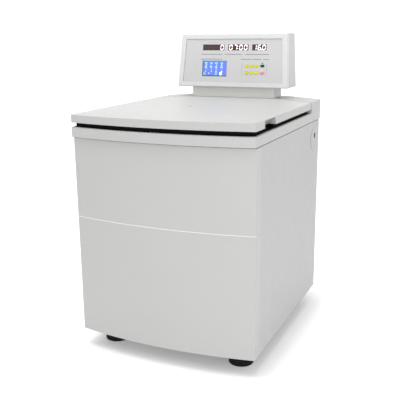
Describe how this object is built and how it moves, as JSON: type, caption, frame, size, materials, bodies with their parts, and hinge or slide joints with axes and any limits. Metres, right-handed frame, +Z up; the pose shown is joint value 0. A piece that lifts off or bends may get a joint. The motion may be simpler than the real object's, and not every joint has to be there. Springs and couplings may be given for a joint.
{
  "type": "laboratory centrifuge",
  "caption": "Floor-standing refrigerated laboratory centrifuge with hinged lid, angle rotor in a steel chamber, bowed cabinet and raised control head.",
  "frame": {"origin": "middle of the footprint box, on the floor under the feet", "axes": "+Z up, front towards -Y, the user's right is +X"},
  "size_m": [0.7, 0.84, 1.163],
  "materials": {
    "white_paint": "satin off-white powder coat",
    "warm_white": "satin warm white",
    "face_film": "matt printed film",
    "black_rubber": "matt",
    "black_plastic": "fine grained",
    "grey_paint": "semi-matt",
    "motor_casting": "painted casting",
    "inverter_case": "textured",
    "black_enamel": "black enamel",
    "stainless": "brushed round the axis",
    "zinc_steel": "zinc plated",
    "dark_steel": "oiled mill finish",
    "aluminium": "anodised",
    "copper": "drawn copper tube",
    "foam": "closed-cell foam",
    "smoked_window": "smoked clear plastic",
    "blue_display": "backlit blue",
    "yellow_key": "silicone key",
    "green_key": "silicone key",
    "red_key": "silicone key",
    "board_green": "solder mask",
    "clear_glass": "clear"
  },
  "bodies": {
    "cabinet": {"armour_ring": "dark_steel", "chamber_gasket": "black_rubber", "chamber_insulation": "foam", "chassis_frame": "grey_paint", "compressor": "black_enamel", "condenser": "aluminium", "control_board": "board_green", "deck_frame": "white_paint", "drive_inverter": "inverter_case", "drive_motor": "motor_casting", "evaporator_coil": "copper", "face_panel": "face_film", "fan_frame": "black_plastic", "foot_front_left": "black_rubber", "foot_front_right": "black_rubber", "foot_rear_left": "black_rubber", "foot_rear_right": "black_rubber", "front_lower_panel": "white_paint", "front_upper_panel": "white_paint", "head_bezel": "white_paint", "head_shell": "white_paint", "hinge_deck_leaf": "zinc_steel", "hinge_pin": "zinc_steel", "latch_bracket": "zinc_steel", "lcd_screen": "blue_display", "mains_gland": "black_plastic", "motor_plate": "grey_paint", "neck": "warm_white", "rear_panel": "white_paint", "release_cover": "white_paint", "rotor_chamber": "stainless", "side_panel_left": "white_paint", "side_panel_right": "white_paint", "speed_display": "smoked_window", "switch_frame": "black_plastic", "temperature_display": "smoked_window", "time_display": "smoked_window", "vibration_mount_1": "black_rubber", "vibration_mount_2": "black_rubber", "vibration_mount_3": "black_rubber"},
    "lid": {"lid_shell": "white_paint", "lid_liner": "black_plastic", "lid_sight_glass": "clear_glass", "lid_striker": "zinc_steel", "hinge_lid_leaf": "zinc_steel"},
    "spindle": {"drive_spindle": "zinc_steel", "rotor": "aluminium"},
    "knob": {"rotor_knob": "black_plastic"},
    "fan": {"condenser_fan": "black_plastic"},
    "hook": {"latch_hook": "zinc_steel"},
    "rocker": {"mains_rocker": "black_plastic"},
    "release": {"release_key": "black_plastic"},
    "key_1_1_cap": {"key_1_1": "yellow_key"},
    "key_1_2_cap": {"key_1_2": "yellow_key"},
    "key_1_3_cap": {"key_1_3": "yellow_key"},
    "key_2_1_cap": {"key_2_1": "yellow_key"},
    "key_2_2_cap": {"key_2_2": "yellow_key"},
    "key_2_3_cap": {"key_2_3": "yellow_key"},
    "key_start_cap": {"key_start": "green_key"},
    "key_stop_cap": {"key_stop": "red_key"}
  },
  "joints": [
    {"name": "lid_hinge", "type": "hinge", "parent": "cabinet", "child": "lid", "pos_m": [0, 0.278, 0.896], "axis": [-1, 0, 0], "range_deg": [0, 70]},
    {"name": "rotor_spin", "type": "hinge", "parent": "cabinet", "child": "spindle", "pos_m": [0, -0.058, 0.7], "axis": [0, 0, 1], "continuous": true},
    {"name": "rotor_knob_turn", "type": "hinge", "parent": "spindle", "child": "knob", "pos_m": [0, -0.058, 0.815], "axis": [0, 0, 1], "range_deg": [0, 720]},
    {"name": "fan_spin", "type": "hinge", "parent": "cabinet", "child": "fan", "pos_m": [0.14, 0.304, 0.285], "axis": [0, 1, 0], "continuous": true},
    {"name": "latch_hook_turn", "type": "hinge", "parent": "cabinet", "child": "hook", "pos_m": [-0.024, -0.361, 0.762], "axis": [0, 1, 0], "range_deg": [0, 14]},
    {"name": "mains_rocker_tilt", "type": "hinge", "parent": "cabinet", "child": "rocker", "pos_m": [-0.25, 0.4115, 0.235], "axis": [-1, 0, 0], "range_deg": [0, 16]},
    {"name": "release_key_turn", "type": "hinge", "parent": "cabinet", "child": "release", "pos_m": [0.3435, 0.344, 0.75], "axis": [1, 0, 0], "range_deg": [0, 90]},
    {"name": "key_1_1_press", "type": "slide", "parent": "cabinet", "child": "key_1_1_cap", "axis": [0, 0.9914, -0.131], "range_m": [0, 0.0012], "stiffness_N_per_m": 400, "springref_m": -0.0005},
    {"name": "key_1_2_press", "type": "slide", "parent": "cabinet", "child": "key_1_2_cap", "axis": [0, 0.9914, -0.131], "range_m": [0, 0.0012], "stiffness_N_per_m": 400, "springref_m": -0.0005},
    {"name": "key_1_3_press", "type": "slide", "parent": "cabinet", "child": "key_1_3_cap", "axis": [0, 0.9914, -0.131], "range_m": [0, 0.0012], "stiffness_N_per_m": 400, "springref_m": -0.0005},
    {"name": "key_2_1_press", "type": "slide", "parent": "cabinet", "child": "key_2_1_cap", "axis": [0, 0.9914, -0.131], "range_m": [0, 0.0012], "stiffness_N_per_m": 400, "springref_m": -0.0005},
    {"name": "key_2_2_press", "type": "slide", "parent": "cabinet", "child": "key_2_2_cap", "axis": [0, 0.9914, -0.131], "range_m": [0, 0.0012], "stiffness_N_per_m": 400, "springref_m": -0.0005},
    {"name": "key_2_3_press", "type": "slide", "parent": "cabinet", "child": "key_2_3_cap", "axis": [0, 0.9914, -0.131], "range_m": [0, 0.0012], "stiffness_N_per_m": 400, "springref_m": -0.0005},
    {"name": "key_start_press", "type": "slide", "parent": "cabinet", "child": "key_start_cap", "axis": [0, 0.9914, -0.131], "range_m": [0, 0.0012], "stiffness_N_per_m": 400, "springref_m": -0.0005},
    {"name": "key_stop_press", "type": "slide", "parent": "cabinet", "child": "key_stop_cap", "axis": [0, 0.9914, -0.131], "range_m": [0, 0.0012], "stiffness_N_per_m": 400, "springref_m": -0.0005}
  ]
}
